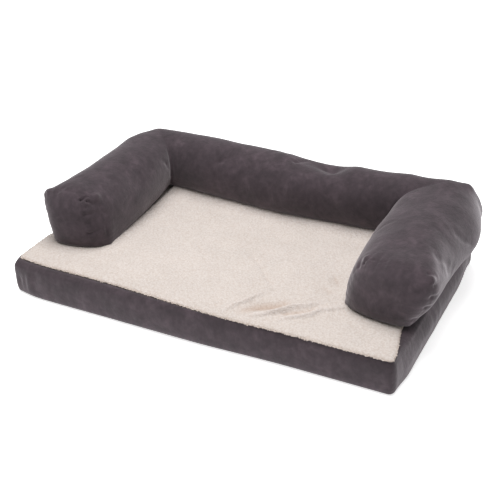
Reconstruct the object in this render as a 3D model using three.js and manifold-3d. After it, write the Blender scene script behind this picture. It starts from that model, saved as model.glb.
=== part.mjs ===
// Pet cushion bed: a boxed foam mattress with a fleece sleep surface, and a stuffed bolster of
// two arms and a back sewn on top of it. Millimetres, +Z up, the open side faces -Y.
// Shapes are laid out about the centre of the mattress footprint; the last step of the file
// moves the whole model so that its origin is the centre of the bottom of its bounding box.

import * as THREE from 'three';
import { mergeVertices } from 'three/addons/utils/BufferGeometryUtils.js';
import Module from 'manifold-3d';

const wasm = await Module();
wasm.setup();

// ---------- Driving dimensions ----------

const GAP = 0.3; // between pieces that touch on the real bed
const FABRIC = 2; // suede cloth with its interlining
const RIGHT_ANGLE = Math.PI / 2;

const MATTRESS = { width: 1000, depth: 640, cornerRadius: 14 };
const BASE_CLOTH = 2; // non-slip cloth under the mattress
const FLEECE = 8; // knitted backing and pile
const SLEEP_HEIGHT = 92; // floor to the top of the fleece
const FOAM_CLEARANCE = 4.7; // foam to the outside of the cover, all round

const BOLSTER = {
  halfHeight: 85,
  centreHeight: 163,
  backHalfThickness: 88,
  backCentreY: 234,
  capSeamY: -166, // plane of the seam between an arm and its end cap
  capBulge: 26, // how far an end cap swells in front of its seam
};
const ARMS = {
  left: { centreX: -398, halfThickness: 98 },
  right: { centreX: 428, halfThickness: 103 },
};
const JOIN_STRIP = { width: 30, thickness: 1.4 };

const ZIP = {
  length: 892,
  height: 43, // of the chain above the floor
  slotHalf: 6.5, // from the chain's middle to the edge of the boxing
  tapeWidth: 15,
  tapeThickness: 0.6,
  coilWidth: 2.6,
  coilHeight: 2.2,
  coilSlot: 1.6, // free width between the two coils, where the slider's wedge runs
  panelHalfLength: 456, // half the length of the boxing strips that carry the zip
};
const SLIDER = { length: 12, width: 9.8, plate: 1, lip: 1, wedgeWidth: 1, wedgeLength: 5 };
const BRIDGE = { length: 8, width: 1.8, height: 3.2, wall: 1.1 };
const PULL = { length: 26, width: 7, thickness: 1.2, pinRadius: 0.65, eyeLength: 7, armWidth: 1.4 };
const SLIDER_REST_X = 434;

// ---------- Derived levels ----------

const COVER_BOTTOM = BASE_CLOTH + GAP;
const COVER_TOP = SLEEP_HEIGHT - FLEECE - GAP;
const REAR_FACE = MATTRESS.depth / 2;
const BOLSTER_BOTTOM = SLEEP_HEIGHT + GAP + JOIN_STRIP.thickness + GAP;
const CURVE_STEPS = 7; // straight steps in a quarter turn of a panel's corner

// ---------- Materials ----------

const suede = new THREE.MeshStandardMaterial({ color: 0x4a4347, roughness: 0.92 });
const fleece = new THREE.MeshStandardMaterial({ color: 0xdfd3c9, roughness: 1 });
const baseCloth = new THREE.MeshStandardMaterial({ color: 0x2b2a2c, roughness: 0.95 });
const foam = new THREE.MeshStandardMaterial({ color: 0xe9dfb8, roughness: 0.95 });
const fibre = new THREE.MeshStandardMaterial({ color: 0xf2f2ee, roughness: 1 });
const zipTape = new THREE.MeshStandardMaterial({ color: 0x35323a, roughness: 0.85 });
const nylon = new THREE.MeshStandardMaterial({ color: 0x2c2a30, roughness: 0.45 });
const metal = new THREE.MeshStandardMaterial({ color: 0x4b4b4f, roughness: 0.35, metalness: 0.9 });

// ---------- Solids ----------

function toManifold(geometry) {
  const bare = geometry.clone();
  bare.deleteAttribute('normal');
  bare.deleteAttribute('uv');
  const merged = mergeVertices(bare, 1e-4);
  return new wasm.Manifold(new wasm.Mesh({
    numProp: 3,
    vertProperties: new Float32Array(merged.attributes.position.array),
    triVerts: new Uint32Array(merged.index.array),
  }));
}

function toGeometry(solid) {
  const mesh = solid.getMesh();
  const geometry = new THREE.BufferGeometry();
  geometry.setAttribute('position', new THREE.BufferAttribute(mesh.vertProperties, 3));
  geometry.setIndex(new THREE.BufferAttribute(mesh.triVerts, 1));
  geometry.computeVertexNormals();
  return geometry;
}

function joined(geometries) {
  return geometries.map(toManifold).reduce((whole, piece) => whole.add(piece));
}

// A box given by its lowest and highest corners.
function blockBetween(low, high) {
  const size = high.map((value, axis) => value - low[axis]);
  const middle = high.map((value, axis) => (value + low[axis]) / 2);
  return new THREE.BoxGeometry(...size).translate(...middle);
}

function extrudeUp(shape, low, high) {
  const options = { depth: high - low, bevelEnabled: false, curveSegments: CURVE_STEPS };
  return new THREE.ExtrudeGeometry(shape, options).translate(0, 0, low);
}

// ---------- Mattress ----------

// Points round one corner of the mattress outline, drawn inside it by inset.
function cornerPoints(sideX, sideY, fromDegrees, toDegrees, inset) {
  const radius = MATTRESS.cornerRadius;
  const curve = new THREE.EllipseCurve(
    sideX * (MATTRESS.width / 2 - radius),
    sideY * (MATTRESS.depth / 2 - radius),
    radius - inset,
    radius - inset,
    THREE.MathUtils.degToRad(fromDegrees),
    THREE.MathUtils.degToRad(toDegrees),
    toDegrees < fromDegrees,
  );
  return curve.getPoints(CURVE_STEPS);
}

function footprint(inset) {
  return new THREE.Shape([
    ...cornerPoints(-1, -1, 180, 270, inset),
    ...cornerPoints(1, -1, 270, 360, inset),
    ...cornerPoints(1, 1, 0, 90, inset),
    ...cornerPoints(-1, 1, 90, 180, inset),
  ]);
}

const SEAM_DEGREES = 0.6; // half the gap between two boxing strips, as an angle of the corner

function frontOutline(inset) {
  return [
    ...cornerPoints(-1, -1, 225 + SEAM_DEGREES, 270, inset),
    ...cornerPoints(1, -1, 270, 315 - SEAM_DEGREES, inset),
  ];
}

// From the middle of the front corner, along one side and round the rear corner to the zip.
function sideOutline(inset) {
  return [
    ...cornerPoints(-1, -1, 225 - SEAM_DEGREES, 180, inset),
    ...cornerPoints(-1, 1, 180, 90, inset),
    new THREE.Vector2(-ZIP.panelHalfLength - GAP / 2, REAR_FACE - inset),
  ];
}

function strip(outline, mirrored) {
  const points = [...outline(0), ...outline(FABRIC).reverse()];
  const side = mirrored ? -1 : 1;
  const shape = new THREE.Shape(points.map((p) => new THREE.Vector2(side * p.x, p.y)));
  return extrudeUp(shape, COVER_BOTTOM, COVER_TOP);
}

function rearStrip(low, high) {
  const end = ZIP.panelHalfLength - GAP / 2;
  return blockBetween([-end, REAR_FACE - FABRIC, low], [end, REAR_FACE, high]);
}

const mattressParts = [
  ['bottom_panel', extrudeUp(footprint(0), 0, BASE_CLOTH), baseCloth],
  ['foam_core', extrudeUp(footprint(FOAM_CLEARANCE), COVER_BOTTOM, COVER_TOP), foam],
  ['sleep_surface_panel', extrudeUp(footprint(0), SLEEP_HEIGHT - FLEECE, SLEEP_HEIGHT), fleece],
  ['front_boxing', strip(frontOutline, false), suede],
  ['left_boxing', strip(sideOutline, false), suede],
  ['right_boxing', strip(sideOutline, true), suede],
  ['rear_boxing_lower', rearStrip(COVER_BOTTOM, ZIP.height - ZIP.slotHalf), suede],
  ['rear_boxing_upper', rearStrip(ZIP.height + ZIP.slotHalf, COVER_TOP), suede],
];

// ---------- Zip ----------

// Depths of the layers, measured along +Y. The coils lie in the slot between the two rear
// strips, and the tapes are sewn behind the strips.
const TAPE_OUTER = REAR_FACE - FABRIC - GAP;
const TAPE_INNER = TAPE_OUTER - ZIP.tapeThickness;
const COIL_INNER = TAPE_OUTER + GAP;
const COIL_OUTER = COIL_INNER + ZIP.coilHeight;
const PLATE_INNER = COIL_OUTER + GAP;
const PLATE_OUTER = PLATE_INNER + SLIDER.plate;
const BACK_PLATE_OUTER = TAPE_INNER - GAP;
const ZIP_END = ZIP.length / 2;
const STOP_LENGTH = 3;

// The upper tape is side 1 and the lower tape is side -1.
function tape(side) {
  const near = ZIP.height + side * ZIP.coilSlot / 2;
  const far = ZIP.height + side * ZIP.tapeWidth;
  return blockBetween(
    [-ZIP_END, TAPE_INNER, Math.min(near, far)],
    [ZIP_END, TAPE_OUTER, Math.max(near, far)],
  );
}

// One row of nylon teeth as a bar with its outer edges rounded off.
function coil(side) {
  const { coilWidth: width, coilHeight: height } = ZIP;
  const round = height / 3;
  const section = new THREE.Shape();
  section.moveTo(0, 0);
  section.lineTo(width, 0);
  section.lineTo(width, height - round);
  section.quadraticCurveTo(width, height, width - round, height);
  section.lineTo(round, height);
  section.quadraticCurveTo(0, height, 0, height - round);
  const length = ZIP.length - 2 * (STOP_LENGTH + GAP);
  const bar = new THREE.ExtrudeGeometry(section, {
    depth: length, bevelEnabled: false, curveSegments: 3,
  });
  bar.rotateY(RIGHT_ANGLE);
  bar.computeBoundingBox();
  const middle = bar.boundingBox.getCenter(new THREE.Vector3());
  return bar.translate(
    -middle.x,
    (COIL_INNER + COIL_OUTER) / 2 - middle.y,
    ZIP.height + side * (ZIP.coilSlot + width) / 2 - middle.z,
  );
}

function endStop(side) {
  const half = ZIP.coilSlot / 2 + ZIP.coilWidth;
  const outer = side * ZIP_END;
  const inner = side * (ZIP_END - STOP_LENGTH);
  return blockBetween(
    [Math.min(outer, inner), COIL_INNER, ZIP.height - half],
    [Math.max(outer, inner), COIL_OUTER, ZIP.height + half],
  );
}

// A plate over the coils and one behind the tapes, held together by the wedge, with lips that
// guide the coils and a bridge for the pull.
function slider() {
  const x = SLIDER_REST_X;
  const z = ZIP.height;
  const halfLength = SLIDER.length / 2;
  const halfWidth = SLIDER.width / 2;
  const outline = new THREE.Shape();
  outline.moveTo(-halfLength, -halfWidth * 0.7);
  outline.lineTo(-halfLength * 0.3, -halfWidth);
  outline.lineTo(halfLength * 0.6, -halfWidth);
  outline.quadraticCurveTo(halfLength, -halfWidth, halfLength, -halfWidth * 0.5);
  outline.lineTo(halfLength, halfWidth * 0.5);
  outline.quadraticCurveTo(halfLength, halfWidth, halfLength * 0.6, halfWidth);
  outline.lineTo(-halfLength * 0.3, halfWidth);
  outline.lineTo(-halfLength, halfWidth * 0.7);
  const plate = (outer) => new THREE.ExtrudeGeometry(outline, {
    depth: SLIDER.plate, bevelEnabled: false, curveSegments: 4,
  }).rotateX(RIGHT_ANGLE).translate(x, outer, z);
  const lips = [-1, 1].map((side) => {
    const edges = [side * (halfWidth - SLIDER.lip), side * halfWidth].sort((a, b) => a - b);
    return blockBetween(
      [x - halfLength * 0.3, COIL_INNER, z + edges[0]],
      [x + halfLength * 0.6, PLATE_OUTER - SLIDER.plate / 2, z + edges[1]],
    );
  });
  const wedge = blockBetween(
    [x, BACK_PLATE_OUTER - SLIDER.plate / 2, z - SLIDER.wedgeWidth / 2],
    [x + SLIDER.wedgeLength, PLATE_OUTER - SLIDER.plate / 2, z + SLIDER.wedgeWidth / 2],
  );
  return toGeometry(joined([
    plate(PLATE_OUTER), plate(BACK_PLATE_OUTER), ...lips, wedge, bridge(x, z),
  ]));
}

// The arch on the slider's face that the pull's pin passes under.
function bridge(x, z) {
  const { length, width, height, wall } = BRIDGE;
  const arch = new THREE.Shape();
  arch.moveTo(-length / 2, -0.3);
  arch.lineTo(length / 2, -0.3);
  arch.lineTo(length / 2, height * 0.6);
  arch.quadraticCurveTo(length / 2, height, length / 4, height);
  arch.lineTo(-length / 4, height);
  arch.quadraticCurveTo(-length / 2, height, -length / 2, height * 0.6);
  const inside = new THREE.Path();
  const half = length / 2 - wall;
  inside.moveTo(-half, 0.1);
  inside.lineTo(-half, height - wall);
  inside.lineTo(half, height - wall);
  inside.lineTo(half, 0.1);
  arch.holes.push(inside);
  return new THREE.ExtrudeGeometry(arch, {
    depth: width, bevelEnabled: false, curveSegments: 4,
  }).translate(0, 0, -width / 2).translate(x, PLATE_OUTER, z);
}

const PIN_DEPTH = PLATE_OUTER + 0.1 + (BRIDGE.height - BRIDGE.wall - 0.1) / 2;

// The tab lies along -X at rest. Its two arms pass beside the bridge, and its pin under it.
function pull() {
  const half = PULL.width / 2;
  const round = 2.5;
  const start = -PULL.pinRadius;
  const tab = new THREE.Shape();
  tab.moveTo(start, -half);
  tab.lineTo(PULL.length - round, -half);
  tab.quadraticCurveTo(PULL.length, -half, PULL.length, -half + round);
  tab.lineTo(PULL.length, half - round);
  tab.quadraticCurveTo(PULL.length, half, PULL.length - round, half);
  tab.lineTo(start, half);
  const eye = new THREE.Path();
  const eyeHalf = half - PULL.armWidth;
  eye.moveTo(start + 2 * PULL.pinRadius, -eyeHalf);
  eye.lineTo(start + 2 * PULL.pinRadius, eyeHalf);
  eye.lineTo(PULL.eyeLength, eyeHalf);
  eye.lineTo(PULL.eyeLength, -eyeHalf);
  tab.holes.push(eye);
  return new THREE.ExtrudeGeometry(tab, {
    depth: PULL.thickness, bevelEnabled: false, curveSegments: 4,
  })
    .translate(0, 0, -PULL.thickness / 2)
    .rotateX(RIGHT_ANGLE)
    .rotateZ(Math.PI)
    .translate(SLIDER_REST_X, PIN_DEPTH, ZIP.height);
}

const zipParts = [
  ['zip_tape_upper', tape(1), zipTape],
  ['zip_tape_lower', tape(-1), zipTape],
  ['zip_coil_upper', coil(1), nylon],
  ['zip_coil_lower', coil(-1), nylon],
  ['zip_bottom_stop', endStop(-1), metal],
  ['zip_top_stop', endStop(1), metal],
  ['zip_slider', slider(), metal],
  ['zip_pull', pull(), metal],
];

// ---------- Bolster ----------

const TUBE_STEPS = 22; // straight steps round a tube
const CAP_STEPS = 4; // rings in the rounded edge of an end cap
const FAR = 3000; // reaches past the bed from any of its corners

// A tube's section: an ellipse pressed flat where it lies on the mattress.
function tubeSection(halfThickness, inset) {
  const halfHeight = BOLSTER.halfHeight - inset;
  const half = halfThickness - inset;
  const flat = BOLSTER_BOTTOM + inset - BOLSTER.centreHeight;
  const start = Math.asin(flat / halfHeight);
  const section = new THREE.Shape();
  section.absellipse(0, 0, half, halfHeight, start, Math.PI - start, false);
  section.closePath();
  return section;
}

// An arm from its swollen front end to past the back corner, drawn inside its skin by inset.
function armSolid(arm, inset) {
  const front = BOLSTER.capSeamY - BOLSTER.capBulge + inset;
  const rear = BOLSTER.backCentreY + BOLSTER.backHalfThickness * 2;
  const bulge = BOLSTER.capBulge - inset;
  const geometry = new THREE.ExtrudeGeometry(tubeSection(arm.halfThickness, inset), {
    depth: rear - front - 2 * bulge,
    curveSegments: TUBE_STEPS,
    bevelThickness: bulge,
    bevelSize: bulge,
    bevelOffset: -bulge,
    bevelSegments: CAP_STEPS,
  });
  geometry.rotateX(RIGHT_ANGLE);
  return toManifold(geometry.translate(arm.centreX, rear - bulge, BOLSTER.centreHeight));
}

function backSolid(inset) {
  const geometry = new THREE.ExtrudeGeometry(tubeSection(BOLSTER.backHalfThickness, inset), {
    depth: MATTRESS.width * 1.2,
    bevelEnabled: false,
    curveSegments: TUBE_STEPS,
  });
  geometry.rotateX(RIGHT_ANGLE).rotateZ(RIGHT_ANGLE);
  return toManifold(
    geometry.translate(-MATTRESS.width * 0.6, BOLSTER.backCentreY, BOLSTER.centreHeight),
  );
}

// Everything on the arm's side of a corner's mitre, or on the back's side of it. The mitre runs
// from the corner inside the bed to the corner outside it, and each side stops short of it.
function mitreHalf(arm, onArmSide) {
  const outward = Math.sign(arm.centreX);
  const along = new THREE.Vector2(outward * arm.halfThickness, BOLSTER.backHalfThickness);
  const towardsBack = onArmSide ? -1 : 1;
  const block = new THREE.BoxGeometry(FAR, FAR, FAR);
  block.translate(0, towardsBack * (FAR / 2 + GAP / 2), 0);
  block.rotateZ(along.angle() - (outward < 0 ? Math.PI : 0));
  return toManifold(block.translate(arm.centreX, BOLSTER.backCentreY, 0));
}

function frontOf(y) {
  return toManifold(blockBetween([-FAR, -FAR, -FAR], [FAR, y - GAP / 2, FAR]));
}

function armParts(side) {
  const arm = ARMS[side];
  const skin = armSolid(arm, 0).subtract(armSolid(arm, FABRIC));
  const cover = skin.subtract(frontOf(BOLSTER.capSeamY + GAP)).intersect(mitreHalf(arm, true));
  const cap = skin.intersect(frontOf(BOLSTER.capSeamY));
  const fill = armSolid(arm, FABRIC + GAP).intersect(mitreHalf(arm, true));
  return [
    [`${side}_arm_cover`, toGeometry(cover), suede],
    [`${side}_end_cap`, toGeometry(cap), suede],
    [`${side}_arm_fill`, toGeometry(fill), fibre],
  ];
}

function backParts() {
  const between = (solid) => ['left', 'right'].reduce(
    (rest, side) => rest.intersect(mitreHalf(ARMS[side], false)),
    solid,
  );
  return [
    ['back_cover', toGeometry(between(backSolid(0).subtract(backSolid(FABRIC)))), suede],
    ['back_fill', toGeometry(between(backSolid(FABRIC + GAP))), fibre],
  ];
}

// The strip that sews the bolster's underside to the mattress cover, bent round both corners.
function joinStrip() {
  const half = JOIN_STRIP.width / 2;
  const { left, right } = ARMS;
  const front = BOLSTER.capSeamY;
  const back = BOLSTER.backCentreY;
  const low = SLEEP_HEIGHT + GAP;
  const shape = new THREE.Shape([
    new THREE.Vector2(left.centreX - half, front),
    new THREE.Vector2(left.centreX + half, front),
    new THREE.Vector2(left.centreX + half, back - half),
    new THREE.Vector2(right.centreX - half, back - half),
    new THREE.Vector2(right.centreX - half, front),
    new THREE.Vector2(right.centreX + half, front),
    new THREE.Vector2(right.centreX + half, back + half),
    new THREE.Vector2(left.centreX - half, back + half),
  ]);
  return extrudeUp(shape, low, low + JOIN_STRIP.thickness);
}

const bolsterParts = [
  ...armParts('left'),
  ...armParts('right'),
  ...backParts(),
  ['bolster_join_strip', joinStrip(), suede],
];

// ---------- Assembly ----------

function assembly(parts) {
  const group = new THREE.Group();
  for (const [name, geometry, material] of parts) {
    const mesh = new THREE.Mesh(geometry, material);
    mesh.name = name;
    group.add(mesh);
  }
  return group;
}

const bed = new THREE.Group();
bed.add(assembly(mattressParts), assembly(zipParts), assembly(bolsterParts));
const extent = new THREE.Box3().setFromObject(bed);
const middle = extent.getCenter(new THREE.Vector3());
bed.position.set(-middle.x, -middle.y, -extent.min.z);

export default bed;
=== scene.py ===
"""Pet cushion bed: the looks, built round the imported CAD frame.

Shapes are laid out in metres about the centre of the mattress footprint, and shell() moves each
finished mesh to its place in the row frame.
"""

import math

import bmesh
import bpy
import numpy as np
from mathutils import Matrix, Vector
from mathutils.kdtree import KDTree


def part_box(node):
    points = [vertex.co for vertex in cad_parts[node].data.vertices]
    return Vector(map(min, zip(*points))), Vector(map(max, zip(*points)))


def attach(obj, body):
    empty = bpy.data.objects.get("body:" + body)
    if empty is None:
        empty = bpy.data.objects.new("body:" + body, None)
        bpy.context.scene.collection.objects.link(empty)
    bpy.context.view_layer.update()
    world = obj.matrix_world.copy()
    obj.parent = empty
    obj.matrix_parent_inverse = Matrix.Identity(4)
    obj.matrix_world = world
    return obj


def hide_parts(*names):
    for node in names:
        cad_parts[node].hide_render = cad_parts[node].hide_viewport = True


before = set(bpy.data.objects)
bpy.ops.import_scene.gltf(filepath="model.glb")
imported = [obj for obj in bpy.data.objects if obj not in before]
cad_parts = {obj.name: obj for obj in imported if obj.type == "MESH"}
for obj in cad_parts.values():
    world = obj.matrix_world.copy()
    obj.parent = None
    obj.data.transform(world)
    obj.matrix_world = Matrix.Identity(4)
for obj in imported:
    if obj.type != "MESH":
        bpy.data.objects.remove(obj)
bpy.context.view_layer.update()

# ---------- Places and sizes, from the frame ----------

MM = 0.001
panel_low, panel_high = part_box("sleep_surface_panel")
MIDDLE = np.array([(panel_low.x + panel_high.x) / 2, (panel_low.y + panel_high.y) / 2, 0.0])
WIDTH = panel_high.x - panel_low.x
DEPTH = panel_high.y - panel_low.y
HALF_W, HALF_D = WIDTH / 2, DEPTH / 2
SEAM_Z = panel_low.z + 2 * MM  # the seam lies in a valley a little below the fleece
SLEEP_Z = panel_high.z
CORNER = 14 * MM  # radius of the mattress corners in plan


def in_metres(**sizes):
    """Named sizes that are given in millimetres."""
    return {name: size * MM for name, size in sizes.items()}


def local_box(node):
    """A CAD node's lowest and highest corners, about the centre of the mattress."""
    low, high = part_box(node)
    return np.array(low) - MIDDLE, np.array(high) - MIDDLE


# ---------- Noise ----------


def lattice(cells, seed):
    """A fixed pseudo-random number from -1 to 1 for each whole-numbered cell."""
    x, y, z = (cells[..., i].astype(np.int64) for i in range(3))
    h = (x * 374761393 + y * 668265263 + z * 2147483647 + seed * 974634777) & 0xFFFFFFFF
    h = ((h ^ (h >> 13)) * 1274126177) & 0xFFFFFFFF
    return ((h ^ (h >> 16)) & 0xFFFF) / 32767.5 - 1.0


def noise(points, size, seed=0):
    """Smooth value noise from -1 to 1 whose lumps are about size metres across."""
    scaled = points / size
    base = np.floor(scaled)
    part = scaled - base
    part = part * part * (3 - 2 * part)
    total = np.zeros(len(points))
    for corner in np.ndindex(2, 2, 2):
        weight = np.prod(np.where(corner, part, 1 - part), axis=1)
        total += weight * lattice(base + corner, seed)
    return total


def flat(x, y):
    """Points in the floor plane, for noise that doesn't vary with height."""
    return np.stack([x, y, np.zeros_like(x)], 1)


def smooth_step(low, high, values):
    """0 below low, 1 above high, and a smooth rise between them."""
    t = np.clip((values - low) / (high - low), 0, 1)
    return t * t * (3 - 2 * t)


def bell(values, width, centre=0.0):
    return np.exp(-(((values - centre) / width) ** 2))


# ---------- Meshes ----------


def make_object(name, points, faces, material=None):
    mesh = bpy.data.meshes.new(name)
    mesh.from_pydata([tuple(p) for p in points], [], [tuple(f) for f in faces])
    mesh.validate()
    mesh.update()
    mesh.shade_smooth()
    obj = bpy.data.objects.new(name, mesh)
    bpy.context.scene.collection.objects.link(obj)
    if material:
        mesh.materials.append(material)
    return obj


def grid_faces(rows, columns, closed=False):
    """Quads of a grid stored row by row. A closed grid's rows join end to end."""
    wide = columns if closed else columns - 1
    faces = []
    for i in range(rows - 1):
        for j in range(wide):
            k = (j + 1) % columns
            faces.append((i * columns + j, i * columns + k,
                          (i + 1) * columns + k, (i + 1) * columns + j))
    return faces


def tube(path, radius, across, sides=6):
    """Points and faces of a round tube. across is a direction that its path never runs along."""
    tangent = np.gradient(path, axis=0)
    first = np.cross(tangent, across)
    first /= np.linalg.norm(first, axis=1)[:, None]
    second = np.cross(tangent, first)
    second /= np.linalg.norm(second, axis=1)[:, None]
    turn = (np.arange(sides) * 2 * math.pi / sides)[None, :, None]
    ring = np.cos(turn) * first[:, None] + np.sin(turn) * second[:, None]
    points = (path[:, None] + radius * ring).reshape(-1, 3)
    faces = grid_faces(len(path), sides, closed=True)
    faces += [tuple(range(sides))[::-1], tuple(range(len(points) - sides, len(points)))]
    return points, faces


def box(low, high):
    """Points and faces of a box between two corners."""
    points = [(x, y, z) for x in (low[0], high[0]) for y in (low[1], high[1]) for z in (low[2], high[2])]
    faces = [(0, 1, 3, 2), (4, 6, 7, 5), (0, 4, 5, 1), (2, 3, 7, 6), (0, 2, 6, 4), (1, 5, 7, 3)]
    return np.array(points), faces


def joined(parts):
    """One list of points and faces from several."""
    points, faces, start = [], [], 0
    for part_points, part_faces in parts:
        points.append(part_points)
        faces += [tuple(start + v for v in face) for face in part_faces]
        start += len(part_points)
    return np.concatenate(points), faces


def values_of(items, name):
    """The vector of that name of each item, as rows."""
    values = np.empty(len(items) * 3)
    items.foreach_get(name, values)
    return values.reshape(-1, 3)


def points_of(obj):
    return values_of(obj.data.vertices, "co")


def normals_of(obj):
    return values_of(obj.data.vertex_normals, "vector")


def set_points(obj, points):
    obj.data.vertices.foreach_set("co", points.ravel())
    obj.data.update()


def apply_modifiers(obj):
    evaluated = obj.evaluated_get(bpy.context.evaluated_depsgraph_get())
    mesh = bpy.data.meshes.new_from_object(evaluated)
    obj.modifiers.clear()
    obj.data = mesh


def face_away(obj, place):
    """Turns every face over if the surface as a whole faces place."""
    total = sum(f.area * f.normal.dot(f.center - Vector(place)) for f in obj.data.polygons)
    if total < 0:
        obj.data.flip_normals()


def edit_mesh(obj, work):
    """Runs work on an object's mesh as a bmesh, and writes it back."""
    mesh = bmesh.new()
    mesh.from_mesh(obj.data)
    work(mesh)
    mesh.to_mesh(obj.data)
    mesh.free()


def tree_of(points):
    tree = KDTree(len(points))
    for i, point in enumerate(points):
        tree.insert(point, i)
    tree.balance()
    return tree


def boundary_mask(obj):
    """True for the vertices on an open edge."""
    counts = {}
    for polygon in obj.data.polygons:
        for key in polygon.edge_keys:
            counts[key] = counts.get(key, 0) + 1
    mask = np.zeros(len(obj.data.vertices), bool)
    mask[[v for key, n in counts.items() if n == 1 for v in key]] = True
    return mask


def shell(obj, thickness, material, normals=None):
    """Moves a laid-out surface to its place on the bed. A thickness lines it with a second skin inside.
    normals, which neighbouring pieces share along a seam, keep the shading even across it."""
    points = points_of(obj) + MIDDLE
    if thickness:
        if normals is None:
            normals = normals_of(obj)
        outer = [tuple(f.vertices) for f in obj.data.polygons]
        edges = dict.fromkeys(edge for face in outer for edge in zip(face, face[1:] + face[:1]))
        rim = [edge for edge in edges if edge[::-1] not in edges]
        n = len(points)
        faces = outer + [tuple(n + v for v in reversed(face)) for face in outer]
        faces += [(b, a, n + a, n + b) for a, b in rim]
        both_skins = np.concatenate([points, points - normals * thickness])
        mesh = bpy.data.meshes.new(obj.name)
        mesh.from_pydata([tuple(p) for p in both_skins], [], faces)
        obj.data = mesh
        mesh.shade_smooth()
        mesh.update()
        split = np.concatenate([normals, -normals])[[v for face in faces for v in face]]
        if rim:
            split[-4 * len(rim):] = np.repeat([f.normal[:] for f in mesh.polygons[-len(rim):]], 4, axis=0)
        mesh.normals_split_custom_set(split.tolist())
    else:
        set_points(obj, points)
        obj.data.shade_smooth()
    obj.data.materials.clear()
    obj.data.materials.append(material)
    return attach(obj, "bed")


def stand_for(piece, node):
    """Shows a visual piece in place of a CAD node."""
    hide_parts(node)


# ---------- Materials ----------


class Nodes:
    """A material's node tree, with a short way to add and link nodes."""

    def __init__(self, name, roughness, sheen=0.0, sheen_roughness=0.5, sheen_tint=(1, 1, 1)):
        self.material = bpy.data.materials.new(name)
        self.material.use_nodes = True
        self.tree = self.material.node_tree
        self.shader = self.tree.nodes["Principled BSDF"]
        self.shader.inputs["Roughness"].default_value = roughness
        self.shader.inputs["Sheen Weight"].default_value = sheen
        self.shader.inputs["Sheen Roughness"].default_value = sheen_roughness
        self.shader.inputs["Sheen Tint"].default_value = (*sheen_tint, 1)
        self.place = self.add("ShaderNodeTexCoord").outputs["Object"]

    def add(self, kind, **settings):
        node = self.tree.nodes.new(kind)
        for key, value in settings.items():
            if hasattr(node, key):
                setattr(node, key, value)
            else:
                self.feed(node.inputs[key.replace("_", " ").title()], value)
        return node

    def feed(self, socket, value):
        """Links a socket to another one or gives it a value. None leaves it as it is."""
        if isinstance(value, bpy.types.NodeSocket):
            self.tree.links.new(value, socket)
        elif value is not None:
            socket.default_value = value

    def noise(self, scale, detail=3.0, roughness=0.55, stretch=None, distortion=0.0):
        where = self.place
        if stretch:
            where = self.add("ShaderNodeMapping", vector_type="POINT", Vector=where,
                             Scale=stretch).outputs[0]
        return self.add("ShaderNodeTexNoise", Vector=where, Scale=scale, Detail=detail,
                        Roughness=roughness, Distortion=distortion).outputs["Fac"]

    def cells(self, scale, smoothness, warp=None):
        return self.add("ShaderNodeTexVoronoi", feature="SMOOTH_F1", Scale=scale, Smoothness=smoothness,
                        Vector=self.place if warp is None else warp).outputs["Distance"]

    def math(self, operation, *values):
        node = self.add("ShaderNodeMath", operation=operation)
        for socket, value in zip(node.inputs, values):
            self.feed(socket, value)
        return node.outputs[0]

    def ramp(self, value, *stops):
        """A colour ramp through stops of (position, colour)."""
        node = self.add("ShaderNodeValToRGB")
        self.feed(node.inputs[0], value)
        elements = node.color_ramp.elements
        while len(elements) < len(stops):
            elements.new(0.5)
        for element, (position, colour) in zip(elements, stops):
            element.position = position
            element.color = (*colour, 1)
        return node.outputs["Color"]

    def mix(self, factor, first, second, blend="MIX"):
        node = self.add("ShaderNodeMix", data_type="RGBA", blend_type=blend)
        self.feed(node.inputs["Factor"], factor)
        self.feed(node.inputs["A"], first if isinstance(first, bpy.types.NodeSocket) else (*first, 1))
        self.feed(node.inputs["B"], second if isinstance(second, bpy.types.NodeSocket) else (*second, 1))
        return node.outputs["Result"]

    def bump(self, height, depth, under=None):
        return self.add("ShaderNodeBump", Height=height, Distance=depth, Normal=under).outputs[0]

    def times(self, first, second, strength=1.0):
        return self.mix(strength, first, second, "MULTIPLY")

    def finish(self, colour, normal=None, roughness=None):
        for name, value in (("Base Color", colour), ("Normal", normal), ("Roughness", roughness)):
            self.feed(self.shader.inputs[name], value)
        return self.material

    def patterned(self, pattern, low, high, depth, roughness=None):
        """Finishes with one pattern that runs from a low to a high colour and stands up as relief."""
        return self.finish(self.ramp(pattern, low, high), self.bump(pattern, depth), roughness)


def scaled(colour, factor):
    return tuple(c * factor for c in colour)


def grey(value):
    return (value, value, value)


SUEDE_COLOUR = (0.0495, 0.0357, 0.0424)
FLEECE_COLOUR = (0.645, 0.592, 0.560)
# The pile's painted shade deepens the further its surface lies below the open surface.
PAINTED_SHADE_DEPTH = 8 * MM  # how far below the open surface the pile's shade reaches its darkest


def suede_material():
    """Brushed microfibre: nap that lies in lighter and darker patches, over a fine grain."""
    n = Nodes("charcoal_suede", 0.9, sheen=0.46, sheen_roughness=0.45, sheen_tint=(1.0, 0.94, 0.98))
    n.shader.inputs["Specular IOR Level"].default_value = 0.3
    patches = n.noise(20, detail=5, roughness=0.62, distortion=0.6)
    streaks = n.noise(70, detail=4, roughness=0.6, stretch=(1.0, 1.0, 0.75))
    grain = n.noise(1500, detail=2, roughness=0.6)
    nap = n.ramp(patches, (0.32, scaled(SUEDE_COLOUR, 0.72)), (0.52, SUEDE_COLOUR),
                 (0.70, scaled(SUEDE_COLOUR, 1.45)))
    brushed = n.times(nap, n.ramp(streaks, (0.35, grey(0.66)), (0.66, (1.34, 1.33, 1.33))), 0.5)
    colour = n.times(brushed, n.ramp(grain, (0.3, grey(0.78)), (0.7, grey(1.22))), 0.55)
    creases = n.bump(n.noise(120, detail=3, roughness=0.5), 0.7 * MM)
    relief = n.bump(grain, 0.12 * MM, creases)
    rough = n.math("MULTIPLY_ADD", patches, 0.12, 0.83)
    return n.finish(colour, relief, rough)


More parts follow.
